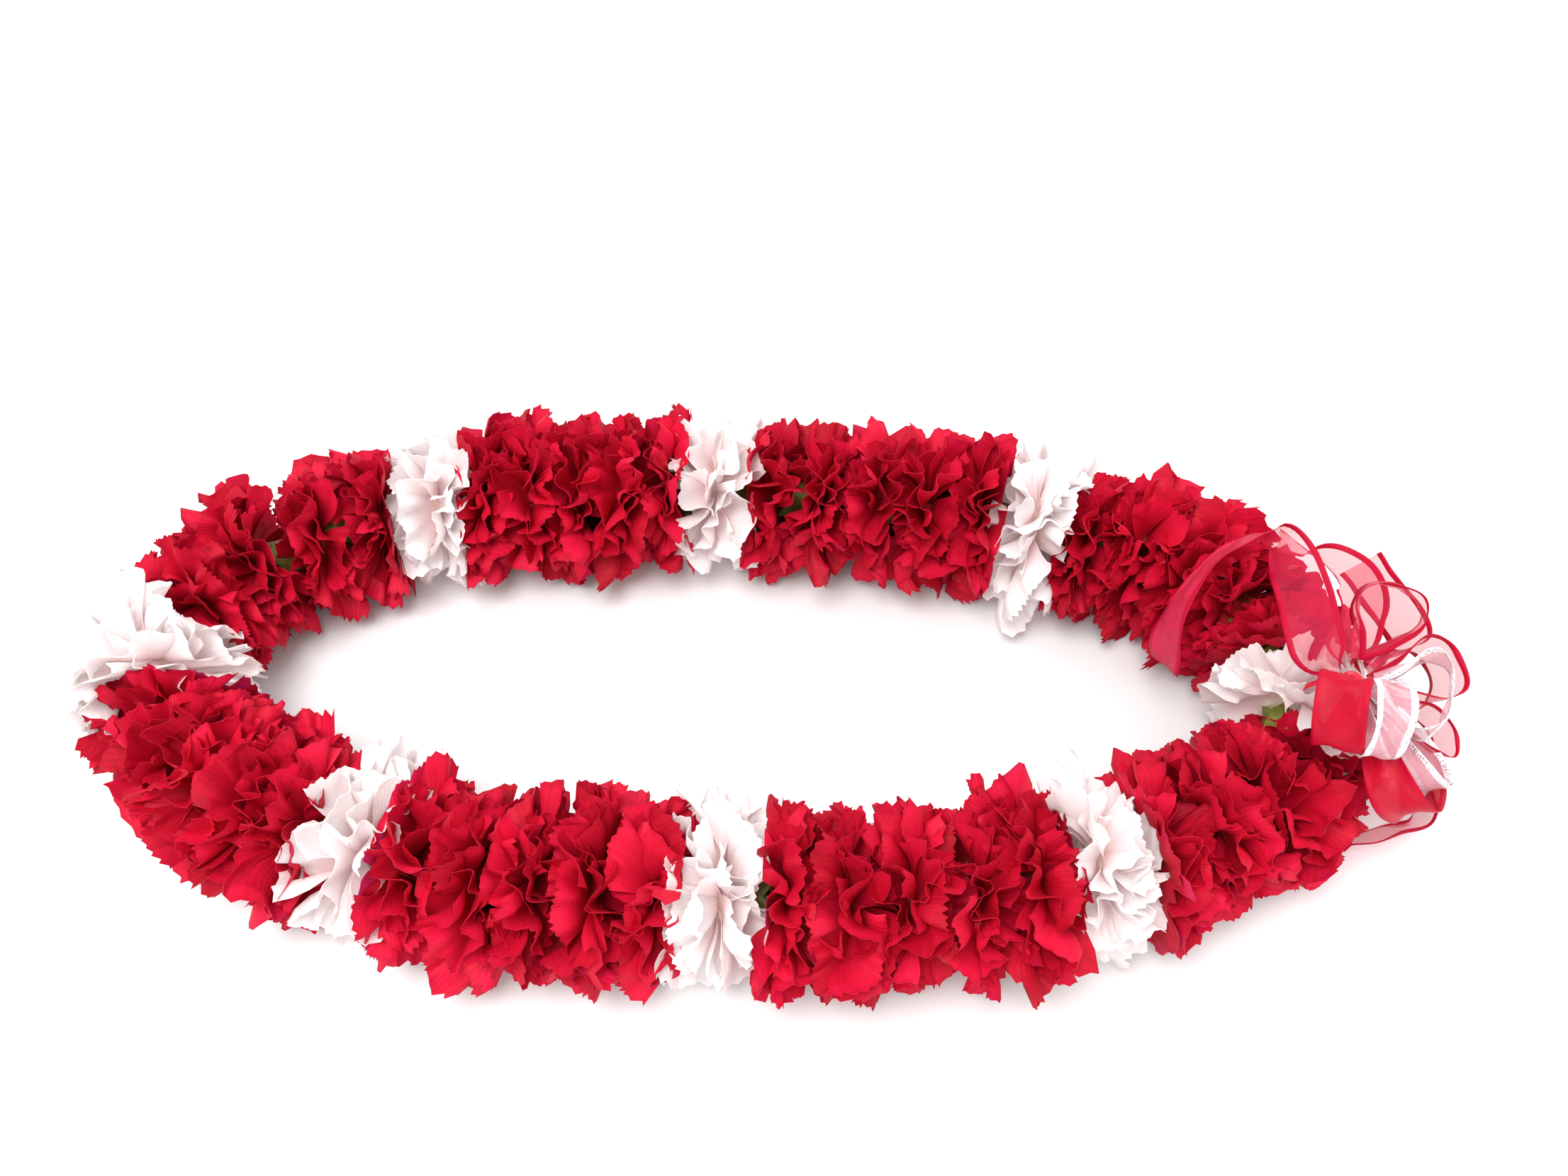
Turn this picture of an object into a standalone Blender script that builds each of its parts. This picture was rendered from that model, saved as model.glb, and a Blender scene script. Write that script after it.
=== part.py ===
"""A fresh flower lei: carnations threaded on a string, with a ribbon bow at one end.

The lei lies flat on a surface at z = 0.  Lengths are in metres.  The ring is an oval
seen from above, and the flowers all face the same way round it, anticlockwise.
"""
import math

import bmesh
import bpy
import numpy as np
from mathutils import Matrix, Vector

# ---------------------------------------------------------------- driving dimensions
RING_HALF_LENGTH = 0.222
RING_HALF_WIDTH = 0.092
RING_TURN = math.radians(-2.5)
RING_SQUARENESS_BACK = 2.37
RING_SQUARENESS_FRONT = 2.20
RING_CENTRE = Vector((-0.0114, 0.0, 0.0))
ROUTE_STEPS = 4000

WHITE_FLOWER_PLACES = (0.0, 0.131, 0.265, 0.381, 0.505, 0.632, 0.757, 0.885)
REDS_AFTER_EACH_WHITE = (5, 5, 5, 4, 5, 5, 5, 4)
FIRST_FLOWER_START = 0.0
FLOWER_SIDES = 12
BLOOM_RADIUS = 0.0337
BLOOM_RADIUS_SPREAD = 0.0012
STRING_HEIGHT = BLOOM_RADIUS * math.cos(math.pi / FLOWER_SIDES)
STRING_RADIUS = 0.0009
STRING_BORE = 0.0021
STRING_POINTS = 80
CALYX_RADIUS = 0.0080
CALYX_FOOT_RADIUS = 0.0050
HEAD_DISH = 0.0090
CROWN_SHARE = 0.56
CROWN_HEIGHT = 0.0060
SHOULDER_SHARE = 0.88
SHOULDER_HEIGHT = 0.0040
RIM_TOP = 0.0010
RIM_FOOT = 0.0060
CALYX_TOP = 0.0120
CALYX_FOOT = 0.0260
FLOWER_SEED = 7

TIE_BEFORE_FLOWER = 0.0134
TIE_REACH = 0.0400
TIE_RISE = math.radians(78)
BOW_FACING = math.radians(55)
TIE_RADIUS = 0.0055
TIE_CORD_RADIUS = 0.0008
CALYX_CLEARANCE = 0.0105
TIE_CORD_HALF_WIDTH = 0.0124
TIE_CORD_POINTS = 24
RIBBON_WIDTH = 0.020
RIBBON_THICKNESS = 0.0005
RIBBON_PINCH = 0.15
RIBBON_COLUMNS = 2
LOOP_GATHER = 0.38
TAIL_GATHER = 0.20
FLOWER_CLEARANCE = 0.0365
LOOP_ROWS = 26
TAIL_ROWS = 30
CURVE_STEPS = 20
TIE_GAP = 0.0013
LEG_GAP = 0.0011
LOOP_START = 0.02
LOOP_SLIMNESS = 1.3
LOOP_ROUNDNESS = 0.8
LOOP_FULLNESS = 0.65
MILLIMETRE = 0.001

# Loops of the bow, in its own right, up and forward directions: the way the loop
# points, the way its width lies, its length and height, and its share of the width.
RED_LOOPS = {
    "loop_front_red": ((-0.50, -0.37, 0.79), (0.95, -0.12, 0.50), 0.026, 0.022, 0.70),
    "loop_right_red": ((0.94, 0.14, -0.31), (0.2, 0.3, 0.93), 0.038, 0.018, 0.90),
    "loop_small_red": ((0.86, -0.45, -0.24), (0.3, 0.33, 0.90), 0.042, 0.008, 0.50),
    "loop_low_red": ((0.30, -0.94, 0.10), (0.73, 0.34, 0.59), 0.043, 0.020, 0.62),
    "loop_back_red": ((0.40, 0.90, 0.15), (-0.2, 0.2, 0.93), 0.030, 0.020, 0.80),
}
WHITE_LOOPS = {
    "loop_front_white": ((0.06, -0.43, 0.90), (0.92, -0.20, 0.35), 0.027, 0.024, 0.55),
    "loop_right_white": ((0.85, -0.20, 0.48), (-0.2, 0.3, 0.93), 0.025, 0.022, 0.70),
    "loop_low_white": ((0.60, -0.77, 0.18), (0.73, 0.45, 0.52), 0.039, 0.012, 0.50),
}
# Tails, as millimetres right, up and forward of the tie, and the ways their width lies.
FLAT = (0.8, -0.1, 0.6)
EDGEWISE = (0.2, 0.2, 0.95)
DRAPE_ROUTE = (
    (-5, 3, 3), (-13, 6, 2), (-14, 16, -3), (-11, 31, -18), (-9, 46, -31), (-12, 54, -38),
    (-23, 50, -36), (-34, 45, -32), (-44, 38, -30), (-53, 27, -34), (-56, 15, -38), (-55, 2, -44),
)
ARCH_ROUTE = (
    (-1, 6, -3), (2, 11, -8), (9, 18, -16), (14, 27, -23),
    (15, 36, -33), (9, 42, -43), (0, 45, -49), (-13, 45, -50),
)
BACK_ROUTE = (
    (5, 5, -6), (14, 6, -22), (29, 5, -37), (41, 11, -40), (39, 21, -43), (33, 31, -46), (25, 43, -48),
)
FRONT_ROUTE = (
    (5, -8, -4.5), (11, -19, -19), (26, -34, -38), (46, -49, -43),
    (44, -59, -39), (31, -62, -37), (20, -65, -35), (10, -67, -34),
)
RED_TAILS = {
    "ribbon_drape": (DRAPE_ROUTE, (FLAT,) * 6 + (EDGEWISE,) * 6),
    "ribbon_arch": (ARCH_ROUTE, ((0.6, -0.1, 0.8),) * 2),
    "ribbon_tail_back": (BACK_ROUTE, ((0.5, 0.4, 0.8),) * 2),
    "ribbon_tail_front": (FRONT_ROUTE, ((0, 0.1, 1),) * 2),
}

RED_PETAL = ("red_petals", (0.62, 0.010, 0.025, 1), 0.60)
WHITE_PETAL = ("white_petals", (0.95, 0.88, 0.85, 1), 0.60)
STRING_COTTON = ("string_cotton", (0.85, 0.82, 0.74, 1), 0.80)
RED_RIBBON = ("red_ribbon", (0.80, 0.02, 0.06, 1), 0.35)
WHITE_RIBBON = ("white_ribbon", (0.97, 0.78, 0.82, 1), 0.35)


# ---------------------------------------------------------------- scene and materials
def clear_scene():
    for old in list(bpy.data.objects):
        bpy.data.objects.remove(old, do_unlink=True)


def make_collection(name):
    collection = bpy.data.collections.new(name)
    bpy.context.scene.collection.children.link(collection)
    return collection


def make_material(name, colour, roughness):
    material = bpy.data.materials.new(name)
    material.use_nodes = True
    material.diffuse_color = colour
    shader = material.node_tree.nodes["Principled BSDF"]
    shader.inputs["Base Color"].default_value = colour
    shader.inputs["Roughness"].default_value = roughness
    shader.inputs["Metallic"].default_value = 0.0
    return material


def add_object(name, mesh, finish):
    node = bpy.data.objects.new(name, mesh)
    LEI.objects.link(node)
    mesh.materials.clear()
    mesh.materials.append(make_material(name + "_" + finish[0], finish[1], finish[2]))
    return node


def evaluated_mesh(node):
    """The mesh of an object with its modifiers or bevel applied."""
    bpy.context.view_layer.update()
    graph = bpy.context.evaluated_depsgraph_get()
    return bpy.data.meshes.new_from_object(node.evaluated_get(graph))


# ---------------------------------------------------------------- the route of the string
def oval_point(angle):
    """A squared oval, squarer on the front side than on the back."""
    front_share = 0.5 - 0.5 * math.sin(angle)
    squareness = RING_SQUARENESS_BACK + (RING_SQUARENESS_FRONT - RING_SQUARENESS_BACK) * front_share
    across, along = math.sin(angle), math.cos(angle)
    x = RING_HALF_LENGTH * math.copysign(abs(along) ** (2 / squareness), along)
    y = RING_HALF_WIDTH * math.copysign(abs(across) ** (2 / squareness), across)
    return Matrix.Rotation(RING_TURN, 2) @ Vector((x, y))


class Route:
    """The closed curve of the string, read by the distance along it."""

    def __init__(self):
        angles = [2 * math.pi * step / ROUTE_STEPS for step in range(ROUTE_STEPS + 1)]
        self.points = np.array([oval_point(angle) for angle in angles])
        gaps = np.linalg.norm(np.diff(self.points, axis=0), axis=1)
        self.distances = np.concatenate([[0.0], np.cumsum(gaps)])
        self.length = float(self.distances[-1])

    def at(self, distance):
        wrapped = distance % self.length
        x = np.interp(wrapped, self.distances, self.points[:, 0])
        y = np.interp(wrapped, self.distances, self.points[:, 1])
        return Vector((float(x), float(y), STRING_HEIGHT))

    def along(self, distance, reach=0.002):
        return (self.at(distance + reach) - self.at(distance - reach)).normalized()

    def inward(self, distance):
        return Vector((0, 0, 1)).cross(self.along(distance))

    def place(self, distance, inward, up):
        """A point beside the string: so far round it, so far in towards the middle, so far up."""
        return self.at(distance) + self.inward(distance) * inward + Vector((0, 0, up))


# ---------------------------------------------------------------- flowers and string
def flower_places(route):
    """Each flower's colour and distance round the ring: reds evenly between the whites."""
    places = []
    ends = WHITE_FLOWER_PLACES[1:] + (1.0,)
    for place, end, reds in zip(WHITE_FLOWER_PLACES, ends, REDS_AFTER_EACH_WHITE):
        pitch = (end - place) * route.length / (reds + 1)
        for i in range(reds + 1):
            distance = FIRST_FLOWER_START + place * route.length + i * pitch
            places.append(("red" if i else "white", distance))
    return places


def turned_flower(radius):
    """One carnation about +Z: a ruffled head like a dished disc, on its green calyx."""
    profile = [
        (STRING_BORE, -HEAD_DISH),
        (CROWN_SHARE * radius, CROWN_HEIGHT),
        (SHOULDER_SHARE * radius, SHOULDER_HEIGHT),
        (radius, -RIM_TOP),
        (radius, -RIM_FOOT),
        (CALYX_RADIUS, -CALYX_TOP),
        (CALYX_FOOT_RADIUS, -CALYX_FOOT),
        (STRING_BORE, -CALYX_FOOT),
    ]
    mesh = bpy.data.meshes.new("flower_profile")
    edges = [(i, (i + 1) % len(profile)) for i in range(len(profile))]
    mesh.from_pydata([(r, 0, z) for r, z in profile], edges, [])
    guide = bpy.data.objects.new("flower_profile", mesh)
    GUIDES.objects.link(guide)
    screw = guide.modifiers.new("turn", "SCREW")
    screw.axis = "Z"
    screw.steps = FLOWER_SIDES
    screw.render_steps = FLOWER_SIDES
    screw.use_merge_vertices = True
    screw.merge_threshold = 0.00001
    turned = evaluated_mesh(guide)
    bpy.data.objects.remove(guide, do_unlink=True)
    turned.transform(Matrix.Rotation(math.pi / FLOWER_SIDES, 4, "Z"))
    return turned


def thread_on(mesh, route, distance):
    """Slide a mesh made about +Z along the string, so that it bends with the ring."""
    for vertex in mesh.vertices:
        spot = route.place(distance + vertex.co.z, vertex.co.x, vertex.co.y)
        spot.z = max(spot.z, 0.0)
        vertex.co = spot + RING_CENTRE


def make_flowers(route):
    random = np.random.default_rng(FLOWER_SEED)
    numbers = {"white": 0, "red": 0}
    for colour, distance in flower_places(route):
        numbers[colour] += 1
        mesh = turned_flower(BLOOM_RADIUS + BLOOM_RADIUS_SPREAD * random.uniform(-1, 1))
        thread_on(mesh, route, distance)
        name = f"{colour}_carnation_{numbers[colour]:02d}"
        add_object(name, mesh, WHITE_PETAL if colour == "white" else RED_PETAL)


def closed_tube(name, points, radius):
    """The mesh of a cord that runs through the points and back to the first."""
    curve = bpy.data.curves.new(name, "CURVE")
    curve.dimensions = "3D"
    curve.bevel_depth = radius
    curve.bevel_resolution = 2
    spline = curve.splines.new("POLY")
    spline.points.add(len(points) - 1)
    for point, spot in zip(spline.points, points):
        point.co = (*spot, 1)
    spline.use_cyclic_u = True
    guide = bpy.data.objects.new(name, curve)
    GUIDES.objects.link(guide)
    mesh = evaluated_mesh(guide)
    bpy.data.objects.remove(guide, do_unlink=True)
    return mesh


def make_string(route):
    points = [route.at(route.length * i / STRING_POINTS) + RING_CENTRE for i in range(STRING_POINTS)]
    add_object("lei_string", closed_tube("lei_string", points, STRING_RADIUS), STRING_COTTON)


# ---------------------------------------------------------------- the ribbon bow
def make_tie(route):
    """The bow's middle, a bound knot, on a cord looped round the calyx beside it."""
    distance = FIRST_FLOWER_START - TIE_BEFORE_FLOWER
    outward = -route.inward(distance)
    reach = outward * math.cos(TIE_RISE) + Vector((0, 0, math.sin(TIE_RISE)))
    across = outward * math.sin(TIE_RISE) - Vector((0, 0, math.cos(TIE_RISE)))
    centre = route.at(distance) + RING_CENTRE
    tie = centre + reach * TIE_REACH

    half_height = (TIE_REACH - 0.5 * TIE_RADIUS + CALYX_CLEARANCE) / 2
    middle = centre + reach * (half_height - CALYX_CLEARANCE)
    turns = [2 * math.pi * i / TIE_CORD_POINTS for i in range(TIE_CORD_POINTS)]
    points = [
        middle + reach * half_height * math.cos(turn) + across * TIE_CORD_HALF_WIDTH * math.sin(turn)
        for turn in turns
    ]
    cord = bpy.data.objects.new("tie_cord", closed_tube("tie_cord", points, TIE_CORD_RADIUS))
    GUIDES.objects.link(cord)
    bpy.ops.mesh.primitive_uv_sphere_add(segments=12, ring_count=8, radius=TIE_RADIUS, location=tie)
    knot = bpy.context.object
    union = knot.modifiers.new("join", "BOOLEAN")
    union.operation = "UNION"
    union.object = cord
    mesh = evaluated_mesh(knot)
    mesh.transform(knot.matrix_world)
    for piece in (knot, cord):
        bpy.data.objects.remove(piece, do_unlink=True)
    add_object("bow_tie", mesh, RED_RIBBON)
    return tie


def smooth_row(points, rows):
    """Points evenly spaced on one smooth curve through the given ones."""
    knots = [Vector(p) for p in points]
    knots = [2 * knots[0] - knots[1]] + knots + [2 * knots[-1] - knots[-2]]
    fine = []
    for i in range(1, len(knots) - 2):
        before, start, end, after = knots[i - 1 : i + 3]
        for step in range(CURVE_STEPS):
            t = step / CURVE_STEPS
            fine.append(
                0.5
                * (
                    2 * start
                    + (end - before) * t
                    + (2 * before - 5 * start + 4 * end - after) * t**2
                    + (3 * start - before - 3 * end + after) * t**3
                )
            )
    fine.append(knots[-2])
    steps = np.cumsum([0.0] + [(b - a).length for a, b in zip(fine, fine[1:])])
    wanted = np.linspace(0, steps[-1], rows)
    columns = [np.interp(wanted, steps, [p[axis] for p in fine]) for axis in range(3)]
    return [Vector((float(x), float(y), float(z))) for x, y, z in zip(*columns)]


def gathered(share_from_tie, gather):
    """Ribbon width along its run: a narrow neck at the tie, opening out over the gather."""
    opening = math.sin(min(1.0, share_from_tie / gather) * math.pi / 2)
    return RIBBON_WIDTH * (RIBBON_PINCH + (1 - RIBBON_PINCH) * opening**1.5)


def bow_vector(right, up, forward):
    """A direction in the bow's own frame, whose face looks up and to the front."""
    tilt = BOW_FACING
    back = up * math.sin(tilt) - forward * math.cos(tilt)
    rise = up * math.cos(tilt) + forward * math.sin(tilt)
    return Vector((right, back, rise))


class BowMaker:
    """Makes ribbon loops and tails that leave one tie and lie clear of the flowers."""

    def __init__(self, tie, route):
        self.tie = tie
        self.route = route

    def clear_of_flowers(self, point):
        """The point, or where it is pushed out to if it was inside the flowers or the floor."""
        spot = point - RING_CENTRE
        spot.z = max(spot.z, 2 * RIBBON_THICKNESS)
        gaps = self.route.points - np.array([spot.x, spot.y])
        nearest = self.route.points[int(np.argmin(np.linalg.norm(gaps, axis=1)))]
        core = Vector((float(nearest[0]), float(nearest[1]), STRING_HEIGHT))
        away = spot - core
        if away.length >= FLOWER_CLEARANCE:
            return spot + RING_CENTRE
        return core + away.normalized() * FLOWER_CLEARANCE + RING_CENTRE

    def ribbon(self, name, centres, widths, sides, finish):
        """A flat ribbon along a row of centres, with its width and sideways direction at each."""
        cloth = bmesh.new()
        rows = []
        for i, centre in enumerate(centres):
            run = centres[min(i + 1, len(centres) - 1)] - centres[max(i - 1, 0)]
            side = sides[i] - run * (sides[i].dot(run) / run.length_squared)
            side.normalize()
            row = []
            for column in range(RIBBON_COLUMNS + 1):
                spot = centre + side * (column / RIBBON_COLUMNS - 0.5) * widths[i]
                row.append(cloth.verts.new(self.clear_of_flowers(spot)))
            rows.append(row)
        for row, following in zip(rows, rows[1:]):
            for column in range(RIBBON_COLUMNS):
                cloth.faces.new((row[column], row[column + 1], following[column + 1], following[column]))
        mesh = bpy.data.meshes.new(name)
        cloth.to_mesh(mesh)
        cloth.free()
        node = add_object(name, mesh, finish)
        solid = node.modifiers.new("thickness", "SOLIDIFY")
        solid.thickness = RIBBON_THICKNESS
        solid.offset = 0

    def loop(self, name, out, side, length, height, width_share, finish):
        """A loop like a tear drop: out from the tie, round, and back to it."""
        out = bow_vector(*out).normalized()
        side = bow_vector(*side)
        side = (side - out * side.dot(out)).normalized()
        rise = side.cross(out)
        centres, widths = [], []
        for row in range(LOOP_ROWS):
            share = row / (LOOP_ROWS - 1)
            turn = math.pi * (LOOP_START + (1 - 2 * LOOP_START) * share)
            swell = math.sin(turn)
            forward = TIE_RADIUS + TIE_GAP + length * swell**LOOP_SLIMNESS
            belly = LOOP_FULLNESS * height * math.sin(2 * turn) * swell**LOOP_ROUNDNESS
            lift = LEG_GAP * math.cos(turn) + belly
            centres.append(self.tie + out * forward + rise * lift)
            widths.append(gathered(min(share, 1 - share), LOOP_GATHER) * width_share)
        self.ribbon(name, centres, widths, [side] * LOOP_ROWS, finish)

    def tail(self, name, points, sides, finish):
        """A tail along a smooth route, its sideways direction turning with it."""
        centres = smooth_row([self.tie + bow_vector(*p) * MILLIMETRE for p in points], TAIL_ROWS)
        shares = np.linspace(0, len(sides) - 1, TAIL_ROWS)
        turned = []
        for share in shares:
            before = min(int(share), len(sides) - 2)
            start, end = bow_vector(*sides[before]), bow_vector(*sides[before + 1])
            turned.append(start.lerp(end, share - before))
        widths = [gathered(row / (TAIL_ROWS - 1), TAIL_GATHER) for row in range(TAIL_ROWS)]
        self.ribbon(name, centres, widths, turned, finish)


def make_bow(tie, route):
    bow = BowMaker(tie, route)
    for loops, finish in ((RED_LOOPS, RED_RIBBON), (WHITE_LOOPS, WHITE_RIBBON)):
        for name, (out, side, length, height, width_share) in loops.items():
            bow.loop(name, out, side, length, height, width_share, finish)
    for name, (points, sides) in RED_TAILS.items():
        bow.tail(name, points, sides, RED_RIBBON)


def main():
    clear_scene()
    route = Route()
    make_flowers(route)
    make_string(route)
    tie = make_tie(route)
    make_bow(tie, route)
    bpy.data.collections.remove(GUIDES)


LEI = make_collection("flower_lei")
GUIDES = make_collection("guides")
main()
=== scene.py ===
import math

import bpy
import numpy as np
from mathutils import Matrix, Vector


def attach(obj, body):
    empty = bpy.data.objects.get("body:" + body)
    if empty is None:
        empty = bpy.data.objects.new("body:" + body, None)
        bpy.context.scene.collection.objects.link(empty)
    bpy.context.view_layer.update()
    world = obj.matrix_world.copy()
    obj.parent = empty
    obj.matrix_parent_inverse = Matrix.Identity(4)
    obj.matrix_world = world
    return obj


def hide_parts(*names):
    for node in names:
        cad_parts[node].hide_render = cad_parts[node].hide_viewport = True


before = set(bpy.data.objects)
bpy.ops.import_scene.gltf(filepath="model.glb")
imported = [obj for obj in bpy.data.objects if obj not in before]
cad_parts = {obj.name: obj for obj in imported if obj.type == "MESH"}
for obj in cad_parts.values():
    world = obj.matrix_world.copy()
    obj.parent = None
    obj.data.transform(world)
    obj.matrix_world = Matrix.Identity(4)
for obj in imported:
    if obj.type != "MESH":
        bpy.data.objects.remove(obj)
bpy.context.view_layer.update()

# ---------------------------------------------------------------- sizes, in metres
PETAL_COLUMNS = 27
PETAL_ROWS = 8
PETAL_THICKNESS = 0.00016
FACE_TO_CROWN = 0.0060
NEAR_BOW = 0.075
NEAR_BOW_REACH = 0.0362
CALYX_MOUTH = 0.0120
TIE_RADIUS = 0.0055

for thing in list(bpy.context.selected_objects):
    thing.select_set(False)


# ---------------------------------------------------------------- where the flowers are
def node_points(name):
    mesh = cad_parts[name].data
    points = np.empty(len(mesh.vertices) * 3)
    mesh.vertices.foreach_get("co", points)
    return np.unique(points.reshape(-1, 3).round(6), axis=0)


def unit(vector):
    return vector / np.linalg.norm(vector)


class Seat:
    """One flower's place on the string: its middle, the way it faces, and the string's bend."""

    def __init__(self, name, before, here, after):
        self.name = name
        self.facing = unit(after - before)
        self.inward = np.cross([0.0, 0.0, 1.0], self.facing)
        crown = ((node_points(name) - here) @ self.facing).max()
        self.middle = here + self.facing * (crown - FACE_TO_CROWN)
        turn = np.cross(unit(here - before), unit(after - here))[2]
        self.bend = math.asin(turn) / (0.5 * np.linalg.norm(after - before))

    def place(self, points):
        """Points made about +Z at the origin, moved on to the bent string."""
        inwards, upwards, along = points.T
        angle = self.bend * along
        swept = np.outer((1 - np.cos(angle)) / self.bend, self.inward)
        swept += np.outer(np.sin(angle) / self.bend, self.facing)
        side = np.outer(np.cos(angle), self.inward) - np.outer(np.sin(angle), self.facing)
        spots = self.middle + swept + side * inwards[:, None]
        spots[:, 2] += upwards
        return spots


def find_seats():
    names = [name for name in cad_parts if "carnation" in name]
    middles = {name: node_points(name).mean(axis=0) for name in names}
    height = np.mean([middle[2] for middle in middles.values()])
    for middle in middles.values():
        middle[2] = height
    order = sorted(names, key=lambda name: math.atan2(2 * middles[name][1], middles[name][0]))
    around = [middles[name] for name in order]
    count = len(order)
    return [Seat(order[i], around[i - 1], around[i], around[(i + 1) % count]) for i in range(count)]


def tie_middle():
    points = node_points("bow_tie")
    top = points[:, 2].max()
    cap = points[points[:, 2] > top - 0.003]
    return Vector((*cap[:, :2].mean(axis=0), top - TIE_RADIUS))


# ---------------------------------------------------------------- petals
def petal_blank():
    """A flat closed petal blank: how far across and along each point is, its layer, and the faces."""
    bpy.ops.mesh.primitive_grid_add(
        x_subdivisions=PETAL_COLUMNS - 1, y_subdivisions=PETAL_ROWS - 1, size=2, location=(0, 0, 0)
    )
    blank = bpy.context.object
    thick = blank.modifiers.new("two_layers", "SOLIDIFY")
    thick.thickness = 0.2
    thick.offset = 0
    bpy.ops.object.modifier_apply(modifier=thick.name)
    bpy.ops.object.mode_set(mode="EDIT")
    bpy.ops.mesh.select_all(action="SELECT")
    bpy.ops.mesh.quads_convert_to_tris()
    bpy.ops.object.mode_set(mode="OBJECT")
    points = np.array([vertex.co[:] for vertex in blank.data.vertices])
    faces = np.array([face.vertices[:] for face in blank.data.polygons])
    bpy.data.objects.remove(blank, do_unlink=True)
    return points[:, 0], (points[:, 1] + 1) / 2, np.sign(points[:, 2]), faces


def smooth_step(low, high, value):
    share = np.clip((value - low) / (high - low), 0, 1)
    return share * share * (3 - 2 * share)


class PetalMaker:
    """Bends copies of one petal blank into ruffled, toothed carnation petals."""

    def __init__(self):
        self.across, self.along, self.layer, self.faces = petal_blank()
        self.column = np.rint((self.across + 1) / 2 * (PETAL_COLUMNS - 1)).astype(int)
        self.rim = self.along > 0.99

    def middle_line(self, petal):
        """The petal's middle line seen from the side: shares of its length, angles, outs and rises."""
        shares = np.linspace(0, 1, 40)
        bend = smooth_step(0.02, petal["bend_end"], shares)
        angles = petal["start_angle"] + (petal["end_angle"] - petal["start_angle"]) * bend
        angles = angles + petal["roll"] * np.maximum(shares - 0.5, 0) ** 2
        gap = petal["length"] * shares[1]
        outs = np.concatenate([[0], np.cumsum(np.sin(angles[:-1]) * gap)])
        rises = np.concatenate([[0], np.cumsum(np.cos(angles[:-1]) * gap)])
        return shares, angles, outs, rises

    def middle_layer(self, across, along, petal):
        """Points midway between the two layers, with +Z as the way the flower faces."""
        shares, angles, outs, rises = self.middle_line(petal)
        phases = petal["phases"]
        reach = along * (1 - petal["rounding"] * np.abs(across) ** 2.5)
        reach = reach * (1 + petal["lobing"] * along * np.sin(petal["lobe_waves"] * across + phases[0]))
        reach = reach - self.rim * petal["teeth"][self.column]
        half_width = petal["claw"] + (petal["half_width"] - petal["claw"]) * along**0.8
        aside = across * half_width
        angle = np.interp(reach, shares, angles)
        out = petal["root_radius"] + np.interp(reach, shares, outs)
        rise = petal["root_height"] + np.interp(reach, shares, rises)
        grow = smooth_step(0.15, 1, along)
        away = petal["big_ruffle"] * np.sin(petal["big_waves"] * across + phases[1] + along)
        away = (away + petal["cup"] * across**2) * grow
        mid_wave = np.sin(petal["mid_waves"] * across + phases[2] + 2 * along)
        away = away + petal["mid_ruffle"] * grow**2 * mid_wave
        away = away + petal["fine_ruffle"] * grow**4 * np.sin(petal["fine_waves"] * across + phases[3])
        turn = petal["twist"] * along
        forward = aside * np.sin(turn) + away * np.cos(turn)
        y = aside * np.cos(turn) - away * np.sin(turn)
        x = out - forward * np.cos(angle)
        z = rise + forward * np.sin(angle)
        spin = petal["around"]
        turned_x = x * math.cos(spin) - y * math.sin(spin)
        turned_y = x * math.sin(spin) + y * math.cos(spin)
        return np.stack([turned_x, turned_y, z], 1)

    def points(self, petal):
        """All of a petal's points, with its two layers a petal's thickness apart."""
        nudge = 0.01
        middle = self.middle_layer(self.across, self.along, petal)
        aside = self.middle_layer(self.across + nudge, self.along, petal) - middle
        onward = self.middle_layer(self.across, self.along - nudge, petal) - middle
        normal = np.cross(onward, aside)
        normal /= np.maximum(np.linalg.norm(normal, axis=1), 1e-12)[:, None]
        return middle + normal * (self.layer * PETAL_THICKNESS / 2)[:, None]


# how many, end angle in degrees, length, half width, where it has bent, root radius
RED_TIERS = (
    (9, (100, 124), (0.0300, 0.0355), (0.0145, 0.0180), 0.34, 0.0052),
    (9, (82, 104), (0.0310, 0.0360), (0.0145, 0.0180), 0.36, 0.0048),
    (9, (64, 86), (0.0305, 0.0355), (0.0135, 0.0170), 0.40, 0.0042),
    (7, (42, 64), (0.0270, 0.0330), (0.0120, 0.0150), 0.50, 0.0034),
)
WHITE_TIERS = (
    (9, (112, 140), (0.0330, 0.0385), (0.0150, 0.0185), 0.36, 0.0054),
    (9, (88, 112), (0.0320, 0.0370), (0.0150, 0.0185), 0.36, 0.0050),
    (9, (62, 86), (0.0325, 0.0375), (0.0140, 0.0180), 0.40, 0.0044),
    (8, (38, 60), (0.0330, 0.0390), (0.0135, 0.0165), 0.50, 0.0036),
)
WHITE_ROOM = 0.0230
RED_ROOM = 0.0200
RED_ROOM_BY_WHITE = 0.009
# Blooms that sit differently: their size, and their shift inward, upward and along the string.
OWN_SEAT = {
    "white_carnation_01": (0.88, (0.001, 0.003, -0.009)),
    "red_carnation_38": (0.84, (-0.009, -0.011, -0.002)),
    "red_carnation_37": (1.0, (-0.002, -0.002, 0.0)),
    "white_carnation_05": (1.06, (-0.005, 0.0, 0.004)),
    "red_carnation_20": (0.94, (0.0, -0.002, 0.005)),
}
AS_USUAL = (1.0, (0.0, 0.0, 0.0))
BLOOM_MIDDLE = -0.0020
TILT = 0.12
SIDE_SHIFT = 0.0016
ALONG_SHIFT = 0.001
ROOM_SPREAD = (0.75, 1.5)
TABLE_EASE = 0.0016
EVERY_OTHER = np.arange(PETAL_COLUMNS) % 2


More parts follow.
